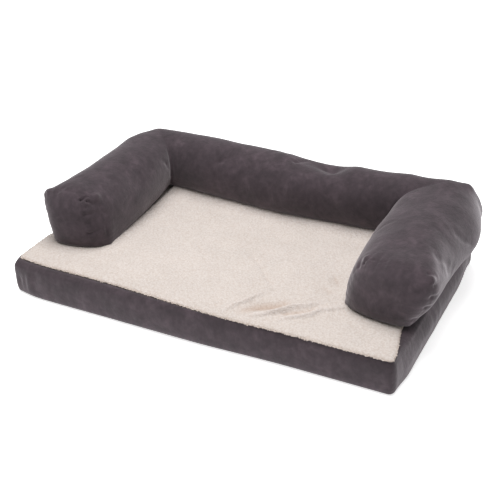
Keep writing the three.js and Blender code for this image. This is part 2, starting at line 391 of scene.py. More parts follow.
def fleece_material():
    """Curly pile: small round tufts, with darker, warmer painted shade in the hollows between them and in
    its valleys, and a painted highlight on the ridges of its folds.
    """
    n = Nodes("cream_fleece", 0.97, sheen=0.25, sheen_roughness=0.6, sheen_tint=(1.0, 0.97, 0.94))
    warp = n.add("ShaderNodeTexNoise", Vector=n.place, Scale=190.0)
    wobble = n.add("ShaderNodeVectorMath", operation="MULTIPLY_ADD")
    for socket, value in zip(wobble.inputs, (warp.outputs["Color"], grey(4 * MM), n.place)):
        n.feed(socket, value)
    tufts = n.cells(235, 0.9, wobble.outputs[0])
    curls = n.cells(560, 0.8, wobble.outputs[0])
    drift = n.noise(14, detail=4, roughness=0.6)
    base = n.ramp(drift, (0.3, scaled(FLEECE_COLOUR, 0.97)), (0.7, scaled(FLEECE_COLOUR, 1.035)))
    # Painted shade: darker and warmer in the hollows between the tufts and between the curls, and a touch
    # lighter on their tops.
    painted_hollow_shade = n.ramp(tufts, (0.25, grey(1.03)), (0.62, (0.91, 0.875, 0.85)))
    painted_curl_shade = n.ramp(curls, (0.2, grey(1.02)), (0.7, (0.94, 0.92, 0.90)))
    # Painted shade and highlight by height: the pile is painted darker and warmer low down, in the valleys
    # of its folds and towards the seam, and lighter on the ridges of its folds.
    height = n.add("ShaderNodeSeparateXYZ", Vector=n.place).outputs[2]
    level = n.math("DIVIDE", n.math("SUBTRACT", height, SLEEP_Z - PAINTED_SHADE_DEPTH), 2 * PAINTED_SHADE_DEPTH)
    painted_height_shade = n.ramp(level, (0.0, (0.78, 0.68, 0.61)), (0.42, (0.99, 0.985, 0.98)), (0.62, grey(1.0)),
                  (1.0, (1.08, 1.08, 1.09)))
    colour = n.times(n.times(n.times(base, painted_hollow_shade), painted_curl_shade), painted_height_shade)
    relief = n.bump(curls, 0.5 * MM, n.bump(tufts, 1.3 * MM))
    for node in n.tree.nodes:
        if node.type == "BUMP":
            node.invert = True
    return n.finish(colour, relief)


def base_cloth_material():
    """Black canvas with a grid of rubber dots."""
    n = Nodes("base_cloth", 0.9)
    parts = n.add("ShaderNodeSeparateXYZ", Vector=n.place)
    pitch = 12 * MM
    waves = [n.math("SINE", n.math("MULTIPLY", parts.outputs[i], 2 * math.pi / pitch)) for i in (0, 1)]
    dots = n.math("GREATER_THAN", n.math("MULTIPLY", waves[0], waves[1]), 0.55)
    weave = n.noise(1200, detail=1)
    cloth = n.ramp(weave, (0.3, (0.012, 0.012, 0.013)), (0.7, (0.030, 0.029, 0.031)))
    colour = n.mix(dots, cloth, (0.045, 0.045, 0.047))
    return n.finish(colour, n.bump(dots, 0.6 * MM, n.bump(weave, 0.2 * MM)))


def foam_material():
    """Open-cell foam."""
    n = Nodes("foam", 0.95)
    return n.patterned(n.cells(900, 0.2), (0.15, (0.88, 0.79, 0.52)), (0.6, (0.66, 0.56, 0.32)), 0.4 * MM)


def fibre_material():
    """Loose polyester fibre."""
    n = Nodes("fibre_fill", 1.0, sheen=0.3)
    strands = n.noise(260, detail=6, roughness=0.75, distortion=2.0)
    return n.patterned(strands, (0.3, (0.78, 0.78, 0.75)), (0.7, (0.95, 0.95, 0.93)), 1.5 * MM)


def tape_material():
    """Ribbed woven polyester tape."""
    n = Nodes("zip_tape", 0.8)
    ribs = n.add("ShaderNodeTexWave", bands_direction="X", Vector=n.place, Scale=350.0).outputs["Fac"]
    return n.patterned(ribs, (0.2, (0.024, 0.020, 0.023)), (0.8, (0.042, 0.036, 0.040)), 0.15 * MM)


def nylon_material():
    n = Nodes("zip_nylon", 0.42)
    fleck = n.noise(700, detail=2)
    return n.patterned(fleck, (0.3, (0.020, 0.018, 0.020)), (0.7, (0.036, 0.032, 0.035)), 0.05 * MM)


def metal_material():
    """Gunmetal plate, rubbed a little brighter in places."""
    n = Nodes("zip_metal", 0.35)
    n.shader.inputs["Metallic"].default_value = 1.0
    wear = n.noise(420, detail=4, roughness=0.6)
    rough = n.math("MULTIPLY_ADD", wear, -0.25, 0.46)
    return n.patterned(wear, (0.35, (0.13, 0.13, 0.14)), (0.72, (0.30, 0.30, 0.31)), 0.03 * MM, rough)


def thread_material():
    n = Nodes("sewing_thread", 0.7, sheen=0.2)
    twist = n.noise(2200, detail=1)
    return n.patterned(twist, (0.3, (0.040, 0.034, 0.038)), (0.7, (0.085, 0.074, 0.080)), 0.05 * MM)


def floor_material():
    n = Nodes("pale_floor", 0.8)
    n.shader.inputs["Emission Color"].default_value = (1, 1, 1, 1)
    n.shader.inputs["Emission Strength"].default_value = 0.69
    return n.finish(n.ramp(n.noise(3), (0.3, grey(0.93)), (0.7, grey(0.95))))


SUEDE = suede_material()
FLEECE = fleece_material()
BASE_CLOTH = base_cloth_material()
FOAM = foam_material()
FIBRE = fibre_material()
TAPE = tape_material()
NYLON = nylon_material()
METAL = metal_material()
THREAD = thread_material()

# ---------- Camera, light and floor ----------

CAMERA_AZIMUTH = 25.7
CAMERA_ELEVATION = 29.7
CAMERA_DISTANCE = 2.57
CAMERA_LENS = 73.5
CAMERA_TARGET = MIDDLE + np.array([0.020, -0.030, 0.100])
FLOOR_REACH = 30.0
OVERHEAD_PLACE = Vector((-0.15, -0.22, 2.5))
OVERHEAD_TARGET = Vector((0, 0, 0.1))
OVERHEAD_SIZE, OVERHEAD_POWER = 2.3, 75
WORLD_LIGHT = 0.28


def put(name, data, place, facing):
    """Adds a camera or a light at a place, facing a direction."""
    obj = bpy.data.objects.new(name, data)
    bpy.context.scene.collection.objects.link(obj)
    obj.location = place
    obj.rotation_mode = "QUATERNION"
    obj.rotation_quaternion = facing.to_track_quat("-Z", "Y")
    return obj


def make_camera():
    azimuth, elevation = math.radians(CAMERA_AZIMUTH), math.radians(CAMERA_ELEVATION)
    back = Vector((math.sin(azimuth) * math.cos(elevation),
                   -math.cos(azimuth) * math.cos(elevation), math.sin(elevation)))
    place = Vector(CAMERA_TARGET) + back * CAMERA_DISTANCE
    camera = put("camera", bpy.data.cameras.new("camera"), place, -back)
    camera.data.sensor_width = 36
    camera.data.lens = CAMERA_LENS
    bpy.context.scene.camera = camera


def make_stage():
    corners = [(x * FLOOR_REACH, y * FLOOR_REACH, 0) for x, y in ((-1, -1), (1, -1), (1, 1), (-1, 1))]
    floor = make_object("floor", corners, [(0, 1, 2, 3)], floor_material())
    world = bpy.data.worlds.new("studio")
    world.use_nodes = True
    nodes, links = world.node_tree.nodes, world.node_tree.links
    nodes["Background"].inputs[0].default_value = (1.0, 1.0, 1.0, 1)
    ray, strength = nodes.new("ShaderNodeLightPath"), nodes.new("ShaderNodeMath")
    strength.operation = "MULTIPLY_ADD"  # white to look at, and softer as a light
    links.new(ray.outputs["Is Camera Ray"], strength.inputs[0])
    strength.inputs[1].default_value = 1 - WORLD_LIGHT
    strength.inputs[2].default_value = WORLD_LIGHT
    links.new(strength.outputs[0], nodes["Background"].inputs[1])
    bpy.context.scene.world = world
    light = bpy.data.lights.new("overhead", "AREA")
    light.shape = "DISK"
    light.size = OVERHEAD_SIZE
    light.energy = OVERHEAD_POWER
    put("overhead", light, OVERHEAD_PLACE, OVERHEAD_TARGET - OVERHEAD_PLACE)
    bpy.context.scene.view_settings.view_transform = "Standard"


# ---------- Mattress ----------


def front_roll(x):
    """How far the front seam lies behind the front face: the boxing rolls over the edge at the left."""
    return 21 * MM * (1 - smooth_step(-0.30 * WIDTH, 0.20 * WIDTH, x)) + 1 * MM


def right_roll(y):
    """How far the right seam lies inside the right face: the arm drags it inwards."""
    return 26 * MM * smooth_step(-0.5 * DEPTH, -0.25 * DEPTH, y)


def left_roll(y):
    """How far the left seam lies inside the left face, from behind the arm's front end."""
    return 41 * MM * smooth_step(-0.28 * DEPTH, -0.05 * DEPTH, y)


def front_swell(x):
    """How far the front bulges forward, left of the middle."""
    return 8 * MM * smooth_step(-0.52 * WIDTH, -0.40 * WIDTH, x) * (1 - smooth_step(0, 0.26 * WIDTH, x))


REAR_ROLL = 45 * MM  # how far the rear seam lies inside the rear face
ROLL_REACH = 90 * MM  # how far in from an edge the cloth follows its rolled seam


def seam_shift(x, y):
    """How far the seam's drag moves a point of the sleep surface, in X and in Y."""
    def near(distance):
        return 1 - smooth_step(0, ROLL_REACH, distance)
    dx = -right_roll(y) * near(HALF_W - x) + left_roll(y) * near(HALF_W + x)
    dy = (front_roll(x) - front_swell(x)) * near(HALF_D + y) - REAR_ROLL * near(HALF_D - y)
    return dx, dy


QUARTER = CORNER * math.pi / 2  # the length of a rounded corner
PERIMETER = 2 * (WIDTH + DEPTH - 4 * CORNER) + 4 * QUARTER


def outline(distance):
    """Points and outward normals of the rounded footprint at distances from the middle of its front
    edge, counterclockwise seen from above."""
    straight_x, straight_y = WIDTH - 2 * CORNER, DEPTH - 2 * CORNER
    lengths = [straight_x / 2, QUARTER, straight_y, QUARTER, straight_x, QUARTER, straight_y, QUARTER,
               straight_x / 2]
    starts = np.concatenate([[0], np.cumsum(lengths)])
    distance = np.mod(distance, starts[-1])
    part = np.clip(np.searchsorted(starts, distance, side="right") - 1, 0, 8)
    along = distance - starts[part]
    heading = np.array([0, 0, 1, 1, 2, 2, 3, 3, 4])[part] * (math.pi / 2)
    turning = part % 2 == 1
    angle = np.where(turning, heading + along / CORNER, heading)
    normal = np.stack([np.sin(angle), -np.cos(angle)], 1)
    sides = [(0, -1), (1, -1), (1, -1), (1, 1), (1, 1), (-1, 1), (-1, 1), (-1, -1), (-1, -1)]
    centres = np.array(sides)[part] * (HALF_W - CORNER, HALF_D - CORNER)
    forward = np.stack([np.cos(heading), np.sin(heading)], 1)
    travel = np.where(turning, 0, along)[:, None] * forward
    return centres + travel + normal * CORNER, normal


# Distances along the outline of the middles of the two front corners and of the ends of the zip panel.
FRONT_RIGHT = WIDTH / 2 - CORNER + QUARTER / 2
ZIP_PANEL_LOW, ZIP_PANEL_HIGH = local_box("rear_boxing_upper")
ZIP_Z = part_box("zip_coil_lower")[1].z + 0.8 * MM  # the middle of the slot between the coils
REAR_RIGHT = WIDTH / 2 - CORNER + 2 * QUARTER + DEPTH - 2 * CORNER + (HALF_W - CORNER - ZIP_PANEL_HIGH[0])
REAR_LEFT = REAR_RIGHT + ZIP_PANEL_HIGH[0] - ZIP_PANEL_LOW[0]
FRONT_LEFT = PERIMETER - FRONT_RIGHT

CLOTH_THICKNESS = 1.4 * MM
BOXING_STEP = 4.5 * MM
FULL_ROWS, STRIP_ROWS = 30, 18  # points up the section of a whole boxing and of a strip beside the zip
# The boxing's section from the bottom seam to the shoulder, as (distance outside the outline, height)
# in millimetres.
BOXING_SECTION = [(-7, 1.5), (-3, 2.6), (0.6, 7), (3.4, 17), (4.6, 32), (4.6, 47), (3.4, 62), (1, 74),
                  (-2.5, 81.5)]


def splay(edge, normal, z):
    """How far the boxing stands out from the outline: the front swells, the right arm's weight spreads
    the side below it, the left bottom corner tucks in and the right one stands out."""
    swell = front_swell(edge[:, 0]) * np.maximum(-normal[:, 1], 0)
    under_arm = smooth_step(-HALF_D, -HALF_D + 90 * MM, edge[:, 1]) * np.maximum(normal[:, 0], 0)
    under_arm *= 1 - smooth_step(0.16, 0.30, edge[:, 1])
    to_corner = np.hypot(HALF_W - np.abs(edge[:, 0]), HALF_D - np.abs(edge[:, 1]))
    tuck = np.where(edge[:, 0] > 0, -2.5 * MM * np.maximum(normal[:, 0], 0), 5 * MM)
    tuck *= bell(to_corner, 40 * MM)
    tuck *= 1 - np.where(edge[:, 0] > 0, smooth_step(0, 45 * MM, z), smooth_step(40 * MM, 85 * MM, z))
    return swell + 9 * MM * under_arm * (1 - smooth_step(45 * MM, 85 * MM, z)) - tuck


def catmull(points, t):
    """A smooth curve through points (stations, knots, 3) at t from 0 to knots - 1."""
    knots = points.shape[1]
    i = np.clip(np.floor(t).astype(int), 0, knots - 2)
    f = (t - i)[None, :, None]
    p0, p1 = points[:, np.clip(i - 1, 0, knots - 1)], points[:, i]
    p2, p3 = points[:, i + 1], points[:, np.clip(i + 2, 0, knots - 1)]
    return 0.5 * (2 * p1 + (p2 - p0) * f + (2 * p0 - 5 * p1 + 4 * p2 - p3) * f ** 2
                  + (3 * p1 - p0 - 3 * p2 + p3) * f ** 3)


def boxing_surface(start, end, low_z, high_z, rows):
    """A stretch of the boxing as a grid: stations along the outline by points up its section.
    low_z or high_z cuts it level there, where the zip is."""
    stations = int(round((end - start) / BOXING_STEP)) + 1
    step = (end - start) / (stations - 1)
    stations += 2  # one more at each end, for the normals
    s = np.linspace(start - step, end + step, stations)
    edge, normal = outline(s)
    dx, dy = seam_shift(edge[:, 0], edge[:, 1])
    seam = edge - normal * 3 * MM + np.stack([dx, dy], 1)
    knots = []
    for out, z in np.array(BOXING_SECTION) * MM:
        place = edge + normal * (out + splay(edge, normal, z))[:, None]
        knots.append(np.column_stack([place, np.full(stations, z)]))
    side = edge + normal * splay(edge, normal, SEAM_Z)[:, None]
    shoulder = side * 0.55 + seam * 0.45 - normal * 2.5 * MM
    knots.append(np.column_stack([shoulder, np.full(stations, SEAM_Z + 0.5 * MM)]))
    knots.append(np.column_stack([seam, np.full(stations, SEAM_Z - 0.5 * MM)]))
    knots = np.stack(knots, 1)
    low, high = 0.0, knots.shape[1] - 1.0
    upwards = np.linspace(0, high, 400)[:360]  # the stretch of the section that only rises
    heights = catmull(knots[:1], upwards)[0, :, 2]
    if low_z is not None:
        low = np.interp(low_z, heights, upwards)
    if high_z is not None:
        high = np.interp(high_z, heights, upwards)
    points = catmull(knots, np.linspace(low, high, rows)).reshape(-1, 3)
    crumple(points, np.repeat(normal, rows, axis=0), np.repeat(s, rows))
    flatten_rear(points)
    grid = points.reshape(stations, rows, 3)
    facing = np.cross(np.gradient(grid, axis=0), np.gradient(grid, axis=1))
    facing /= np.linalg.norm(facing, axis=2)[..., None]
    return grid[1:-1].reshape(-1, 3), facing[1:-1].reshape(-1, 3), grid_faces(stations - 2, rows)


def crumple(points, normal, along):
    """Soft dents, and short upright wrinkles that die out towards the seams, deepest at the left end
    of the front."""
    height = points[:, 2] / SEAM_Z
    middle = np.clip(4 * height * (1 - height), 0, 1)
    upright = np.stack([along, np.zeros_like(along), points[:, 2] * 0.22], 1)
    wrinkles = noise(upright, 17 * MM, 3) + 0.6 * noise(upright, 9 * MM, 4)
    left = 1 - smooth_step(-0.5 * WIDTH, -0.18 * WIDTH, points[:, 0])
    front = smooth_step(0.3 * DEPTH, 0.45 * DEPTH, -points[:, 1])
    depth = 0.6 * MM + 1.9 * MM * left * front
    laid_out = np.stack([along, np.zeros_like(along), points[:, 2]], 1)
    dents = 1.6 * MM * noise(laid_out, 120 * MM, 5) + 0.8 * MM * noise(laid_out, 46 * MM, 6)
    points[:, :2] += normal * (wrinkles * depth * middle + dents * middle)[:, None]


def make_boxing():
    zip_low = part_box("rear_boxing_lower")[1].z
    zip_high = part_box("rear_boxing_upper")[0].z
    gap = 0.04 * MM  # half the width of a seam's slit
    spans = {
        "front_boxing": (FRONT_LEFT - PERIMETER, FRONT_RIGHT, None, None, SEAM_Z),
        "right_boxing": (FRONT_RIGHT, REAR_RIGHT, None, None, SEAM_Z),
        "rear_boxing_lower": (REAR_RIGHT, REAR_LEFT, None, zip_low, zip_low),
        "rear_boxing_upper": (REAR_RIGHT, REAR_LEFT, zip_high, None, SEAM_Z - zip_high + 10 * MM),
        "left_boxing": (REAR_LEFT, FRONT_LEFT, None, None, SEAM_Z),
    }
    for name, (start, end, low_z, high_z, height) in spans.items():
        start, end = start + gap, end - gap
        rows = FULL_ROWS if low_z is None and high_z is None else STRIP_ROWS
        points, normals, faces = boxing_surface(start, end, low_z, high_z, rows)
        piece = make_object(name + "_cloth", points, faces)
        face_away(piece, (0, 0, SEAM_Z / 2))
        shell(piece, CLOTH_THICKNESS, SUEDE, normals)
        stand_for(piece, name)


def flatten_rear(points):
    """Pulls the rear flat towards the zip, which is stiffer than the cloth, and lets go past its ends."""
    face = local_box("rear_boxing_upper")[1][1]
    beyond = np.maximum(points[:, 0] - ZIP_PANEL_HIGH[0], ZIP_PANEL_LOW[0] - points[:, 0])
    near = bell(points[:, 2], 17 * MM, ZIP_Z) * (1 - smooth_step(9 * MM, 28 * MM, beyond))
    near *= points[:, 1] > 0
    points[:, 1] += (face + 0.3 * MM - points[:, 1]) * near


# Folds in the sleep surface as (path, height, half width), in millimetres. They fan out from the foot
# of the right arm, and a negative height is a valley.
FOLDS = [
    ([(330, -155), (275, -205), (250, -245), (205, -290)], 9, 7),
    ([(285, -165), (215, -215), (190, -250), (120, -320)], 10, 7),
    ([(140, -175), (105, -245), (70, -305)], 8, 7),
    ([(210, -180), (155, -240), (110, -290)], -8, 15),
    ([(280, -190), (230, -232), (195, -262)], -6, 9),
    ([(65, -262), (30, -310)], -4, 9),
    ([(10, -20), (70, -75), (110, -120), (160, -175)], -3, 7),
    ([(-130, -40), (-50, -120)], -2, 8),
    ([(255, -40), (280, -85)], -5, 15),
    ([(225, -90), (305, -130)], -3, 18),
]


def along_path(places, path):
    """The distance from each place to a path, and how far along it the nearest point is, from 0 to 1."""
    lengths = np.linalg.norm(np.diff(path, axis=0), axis=1)
    distance, share = np.full(len(places), np.inf), np.zeros(len(places))
    for k, length in enumerate(lengths):
        run = path[k + 1] - path[k]
        t = np.clip((places - path[k]) @ run / length ** 2, 0, 1)
        away = np.linalg.norm(places - path[k] - t[:, None] * run, axis=1)
        share = np.where(away < distance, (lengths[:k].sum() + t * length) / lengths.sum(), share)
        distance = np.minimum(distance, away)
    return distance, share


def fold_height(x, y):
    total = np.zeros_like(x)
    sway = 5 * MM * noise(flat(x, y), 45 * MM, 11)
    for path, height, width in FOLDS:
        away, share = along_path(np.stack([x + sway, y - sway], 1), np.array(path) * MM)
        taper = np.sin(np.pi * np.clip(share, 0.04, 0.96)) ** 0.6
        total += height * MM * bell(away, width * MM) * taper
    return total


FLEECE_STEP = 2.7 * MM
FLEECE_INSET = 3 * MM  # of its seam from the outline
PILE_RISE = 4.5 * MM
CURL = 6.5 * MM  # across a lock of the fleece


def rounded_grid(columns, rows, half_w, half_d, radius):
    """A grid over a rectangle with its corners drawn in to a radius: the x and y of its points, and how
    far they are from the edge."""
    x, y = np.meshgrid(np.linspace(-half_w, half_w, columns), np.linspace(-half_d, half_d, rows))
    x, y = x.ravel(), y.ravel()
    over_x, over_y = np.abs(x) - (half_w - radius), np.abs(y) - (half_d - radius)
    in_corner = (over_x > 0) & (over_y > 0)
    longest = np.maximum(over_x, over_y)
    shrink = np.where(in_corner, longest / np.maximum(np.hypot(over_x, over_y), 1e-9), 1)
    x = np.where(in_corner, np.sign(x) * (half_w - radius + over_x * shrink), x)
    y = np.where(in_corner, np.sign(y) * (half_d - radius + over_y * shrink), y)
    return x, y, np.maximum(radius - longest, 0)


def slab(top, rows, columns, underside_z):
    """A grid of points closed by a flat underside: all its points, its faces and the underside's edge."""
    last = (rows - 1) * columns
    rim = (list(range(columns - 1)) + [i * columns + columns - 1 for i in range(rows - 1)]
           + list(range(last + columns - 1, last, -1)) + [i * columns for i in range(rows - 1, 0, -1)])
    below = top[rim]
    below[:, :2] *= 1 - 2 * MM / HALF_D
    below[:, 2] = underside_z
    start, count = len(top), len(rim)
    faces = grid_faces(rows, columns)
    faces += [(rim[k], start + k, start + (k + 1) % count, rim[(k + 1) % count]) for k in range(count)]
    faces.append(tuple(range(start + count - 1, start - 1, -1)))
    return np.concatenate([top, below]), faces, below


def pile_height(x, y, edge):
    """The height of the fleece, which rises steeply from the seam to the pile."""
    rise = 1 - np.exp(-edge / PILE_RISE)
    crown = (1 - (x / (HALF_W - FLEECE_INSET)) ** 4) * (1 - (y / (HALF_D - FLEECE_INSET)) ** 4)
    place = flat(x, y)
    inside = smooth_step(0, 35 * MM, edge)
    waves = fold_height(x, y) + 1.2 * MM * noise(place, 150 * MM, 12) + 0.7 * MM * noise(place, 60 * MM, 13)
    under = bolster_shade(x, y)
    z = SEAM_Z - 0.5 * MM + (SLEEP_Z - SEAM_Z + 1 * MM) * rise
    z += (1 - under) * (1.2 * MM * crown + inside * waves + bank(x, y)) - 1.2 * MM * under * rise
    return z + 0.75 * MM * (noise(place, CURL, 14) + 0.6 * noise(place, 0.55 * CURL, 16)) * rise


def make_sleep_surface():
    """The fleece, as a slab with a flat underside and an uneven edge."""
    columns, rows = int(WIDTH / FLEECE_STEP), int(DEPTH / FLEECE_STEP)
    half_w, half_d = HALF_W - FLEECE_INSET, HALF_D - FLEECE_INSET
    x, y, edge = rounded_grid(columns, rows, half_w, half_d, CORNER - FLEECE_INSET)
    dx, dy = seam_shift(x, y)
    rise = 1 - np.exp(-edge / PILE_RISE)
    lump = 3 * MM * noise(flat(x, y), 9 * MM, 15) * np.exp(-edge / (6 * MM)) * rise
    away_x = np.where(half_w - np.abs(x) < half_d - np.abs(y), np.sign(x), 0)
    away_y = np.where(away_x == 0, np.sign(y), 0)
    top = np.column_stack([x + dx + away_x * lump, y + dy + away_y * lump, pile_height(x, y, edge)])
    points, faces, below = slab(top, rows, columns, panel_low.z + 0.2 * MM)
    piece = shell(make_object("sleep_surface_fleece", points, faces), None, FLEECE)
    stand_for(piece, "sleep_surface_panel")
    make_fringe(below)


# Where the foot of the bolster starts: to either side, and at the back once its bow is taken off.
ARM_FOOT_X, BACK_FOOT_Y = 320 * MM, 210 * MM
BANK_WIDTH = 34 * MM


def bolster_shade(x, y):
    """1 under the bolster, which presses the pile down, and 0 in the open."""
    from_middle = np.abs(x) - 5 * MM
    arms = smooth_step(ARM_FOOT_X, ARM_FOOT_X + 20 * MM, from_middle) * smooth_step(-0.19, -0.17, y)
    return np.maximum(arms, smooth_step(BACK_FOOT_Y, BACK_FOOT_Y + 18 * MM, bowed(x, y)))


def bank(x, y):
    """How high the fleece swells in front of the back's foot and beside the arms'."""
    behind = 12 * MM * bell(bowed(x, y), BANK_WIDTH, BACK_FOOT_Y)
    arms = np.where(x < 0, 4 * MM, 3 * MM) * bell(np.abs(x), BANK_WIDTH, ARM_FOOT_X + 2 * MM)
    return np.maximum(behind, arms * smooth_step(-0.20, -0.08, y))


def bowed(x, y):
    """How far back a place is, measured along the back's bowed front."""
    return y + 16 * MM * np.clip(1 - (x / 0.30) ** 2, 0, 1)


def nub(place, size, seed):
    """One lock of the fleece: a small uneven ball."""
    ball = bmesh.new()
    bmesh.ops.create_icosphere(ball, subdivisions=1, radius=1.0)
    points = np.array([v.co[:] for v in ball.verts])
    faces = [tuple(v.index for v in f.verts) for f in ball.faces]
    ball.free()
    points *= 1 + 0.30 * noise(points + seed * 3.7, 0.9, 31)[:, None]
    return points * size * np.array([1.0, 1.0, 0.8]) + place, faces


def make_fringe(edge_loop):
    """Locks of the fleece that spill over the seam, all the way round."""
    step = 2.5 * MM
    closed = np.vstack([edge_loop, edge_loop[:1]])
    along = np.concatenate([[0], np.cumsum(np.linalg.norm(np.diff(closed[:, :2], axis=0), axis=1))])
    at = np.arange(0, along[-1] - step / 2, step)
    x, y = np.interp(at, along, closed[:, 0]), np.interp(at, along, closed[:, 1])
    jitter = flat(at * 7.1, at * 3.3)
    out = 1.2 * MM + 1.8 * MM * noise(jitter, 5 * MM, 32)
    height = SEAM_Z + 1.6 * MM + 1.4 * MM * noise(jitter, 4 * MM, 33)
    size = 2.1 * MM + 0.8 * MM * noise(jitter, 6 * MM, 34)
    normal = np.stack([np.gradient(y), -np.gradient(x)], 1)
    normal /= np.linalg.norm(normal, axis=1)[:, None]
    nubs = [nub(np.array([x[k] + normal[k, 0] * out[k], y[k] + normal[k, 1] * out[k], height[k]]),
                size[k], k) for k in range(len(at))]
    fringe = shell(make_object("fleece_fringe", *joined(nubs)), None, FLEECE)
    return fringe


def make_bottom():
    """The base cloth, gathered in under the rounded lower edge of the boxing."""
    inset, rings, count = 7 * MM, 26, 240
    edge, normal = outline(np.linspace(0, PERIMETER, count, endpoint=False))
    edge = edge + normal * (splay(edge, normal, 0) - inset)[:, None]
    levels = []
    for k in range(rings):
        share = 1 - (k / rings) ** 1.2
        z = 0.35 * MM * np.exp(-((1 - share) * HALF_D) / (8 * MM))
        levels.append(np.column_stack([edge * share, np.full(count, z)]))
    points = np.concatenate(levels + [[[0, 0, 0]]])
    faces = grid_faces(rings, count, closed=True)
    last_ring = (rings - 1) * count
    faces += [(last_ring + j, last_ring + (j + 1) % count, rings * count) for j in range(count)]
    piece = make_object("bottom_panel_cloth", points, faces)
    face_away(piece, (0, 0, 1))
    shell(piece, CLOTH_THICKNESS, BASE_CLOTH)
    stand_for(piece, "bottom_panel")


def make_foam():
    """The foam block, its edges crushed round by the cover."""
    low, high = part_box("foam_core")
    section = [(14 * MM, low.z), (4.5 * MM, low.z + 4 * MM), (1.5 * MM, low.z + 14 * MM),
               (2 * MM, high.z - 34 * MM), (6 * MM, high.z - 16 * MM), (17 * MM, high.z - 4 * MM),
               (34 * MM, high.z)]
    rows, count = 25, 400
    edge, normal = outline(np.linspace(0, PERIMETER, count, endpoint=False))
    behind_zip = 3.6 * MM * np.maximum(normal[:, 1], 0)
    loops = []
    for inset, z in section:
        out = splay(edge, normal, z) - inset - behind_zip
        loops.append(np.column_stack([edge + normal * out[:, None], np.full(count, z)]))
    surface = catmull(np.stack(loops, 1), np.linspace(0, len(section) - 1, rows))
    surface[..., 2] = np.clip(surface[..., 2], low.z, high.z)
    faces = grid_faces(rows, count, closed=True)
    faces += [tuple(range(count))[::-1], tuple(range((rows - 1) * count, rows * count))]
    block = make_object("foam_block", surface.transpose(1, 0, 2).reshape(-1, 3), faces)
    block = shell(block, None, FOAM)
    stand_for(block, "foam_core")


# ---------- Bolster ----------

CELL = 8 * MM  # of the simulated cloth
BOLSTER_Z = local_box("left_arm_cover")[0][2]
back_low, back_high = local_box("back_cover")
BACK_Y = (back_low[1] + back_high[1]) / 2 + 10 * MM
BACK = in_metres(half=72, mitre_half=68, low=88, mitre_low=88, high=246, bow=14, foot_shift=4)
# Each arm before stuffing, in millimetres: where its middle is at the mitre and at the front; half its
# width at the middle, the front and the mitre; the lowest and highest points of its section, which the
# mattress cuts flat; how far its front leans out; the front seam's place, skew and bow; and how far the
# outer side of its foot is tucked in.
ARMS = {
    -1: in_metres(x=-398, front_x=-402, half=96, front_half=82, mitre_half=77, low=70, high=243,
                  lean=15, front=-169, skew=18, bow=8, foot_in=0),
    1: in_metres(x=421, front_x=431, half=116, front_half=107, mitre_half=99, low=80, high=244,
                 lean=22, front=-166, skew=16, bow=8, foot_in=20),
}
SIDES = {-1: "left", 1: "right"}
PIECES = ["left_end_cap", "left_arm_cover", "back_cover", "right_arm_cover", "right_end_cap"]
TUBE_ROUNDING = 0.90  # of a section's corners: 0 is square and 1 is round
ARM_FOOT_ROUNDING = 0.84
BACK_FOOT_ROUNDING = 0.86
CAP_ROUNDING = 0.70
CAP_FOOT_ROUNDING = 0.50
CAP_CROWN = 26 * MM
GIRTH_CELLS = 18  # along each of a section's four sides
FRAMES = 24
CLOTH = {"quality": 6, "mass": 0.3, "tension_stiffness": 40, "compression_stiffness": 40,
         "shear_stiffness": 20, "bending_stiffness": 0.4, "tension_damping": 10,
         "compression_damping": 10, "air_damping": 3, "use_pressure": True,
         "uniform_pressure_force": 5.0, "vertex_group_mass": "feet"}


def section_ring(cells):
    """A square section as (outward, up) from -1 to 1, starting at the foot inside the bed."""
    steps = [-1 + 2 * i / cells for i in range(cells)]
    return ([(a, -1) for a in steps] + [(1, b) for b in steps]
            + [(-a, 1) for a in steps] + [(-1, -b) for b in steps])


def mix(a, b, t):
    return a + (b - a) * t


def rounded(along, across, rounding):
    """One coordinate of a square section's point, drawn in where the other one nears a corner."""
    return along * math.sqrt(1 - rounding * across * across / 2)


def height_in(low, high, up):
    return max(BOLSTER_Z, mix(low, high, (up + 1) / 2))


def back_depth(out, up, half):
    """How far back a point of the back's section is. Its foot is narrow and sits towards the rear."""
    rounding = TUBE_ROUNDING if up > 0 else mix(TUBE_ROUNDING, BACK_FOOT_ROUNDING, -up)
    return BACK_Y + rounded(out, up, rounding) * half + BACK["foot_shift"] * ((1 - up) / 2) ** 3


def arm_point(side, out, up, t):
    """A point of an unstuffed arm, from its front seam at t 0 to the mitre at t 1."""
    arm = ARMS[side]
    cap = (1 - t) ** 4
    top, foot = mix(TUBE_ROUNDING, CAP_ROUNDING, cap), mix(ARM_FOOT_ROUNDING, CAP_FOOT_ROUNDING, cap)
    rounding = top if up > 0 else mix(top, foot, -up)
    round_out, round_up = rounded(out, up, rounding), rounded(up, out, rounding)
    half = (arm["half"] + (arm["front_half"] - arm["half"]) * (1 - t) ** 3
            + (arm["mitre_half"] - arm["half"]) * t ** 3)
    x = mix(arm["x"], arm["front_x"], 1 - t) + side * (1 - t) ** 2 * arm["lean"] * round_up
    x -= side * arm["foot_in"] * ((1 - up) / 2) ** 2 * (1 + out) / 2 * (1 - t ** 3)
    start = arm["front"] - arm["skew"] * out - arm["bow"] * (1 - out * out)
    start -= CAP_CROWN * (1 - out ** 4) * (1 - up ** 4)
    end = back_depth(out, up, BACK["mitre_half"])
    z = height_in(mix(arm["low"], BACK["mitre_low"], t ** 2), mix(arm["high"], BACK["high"], t), round_up)
    return x + side * round_out * half, start + t * (end - start), z


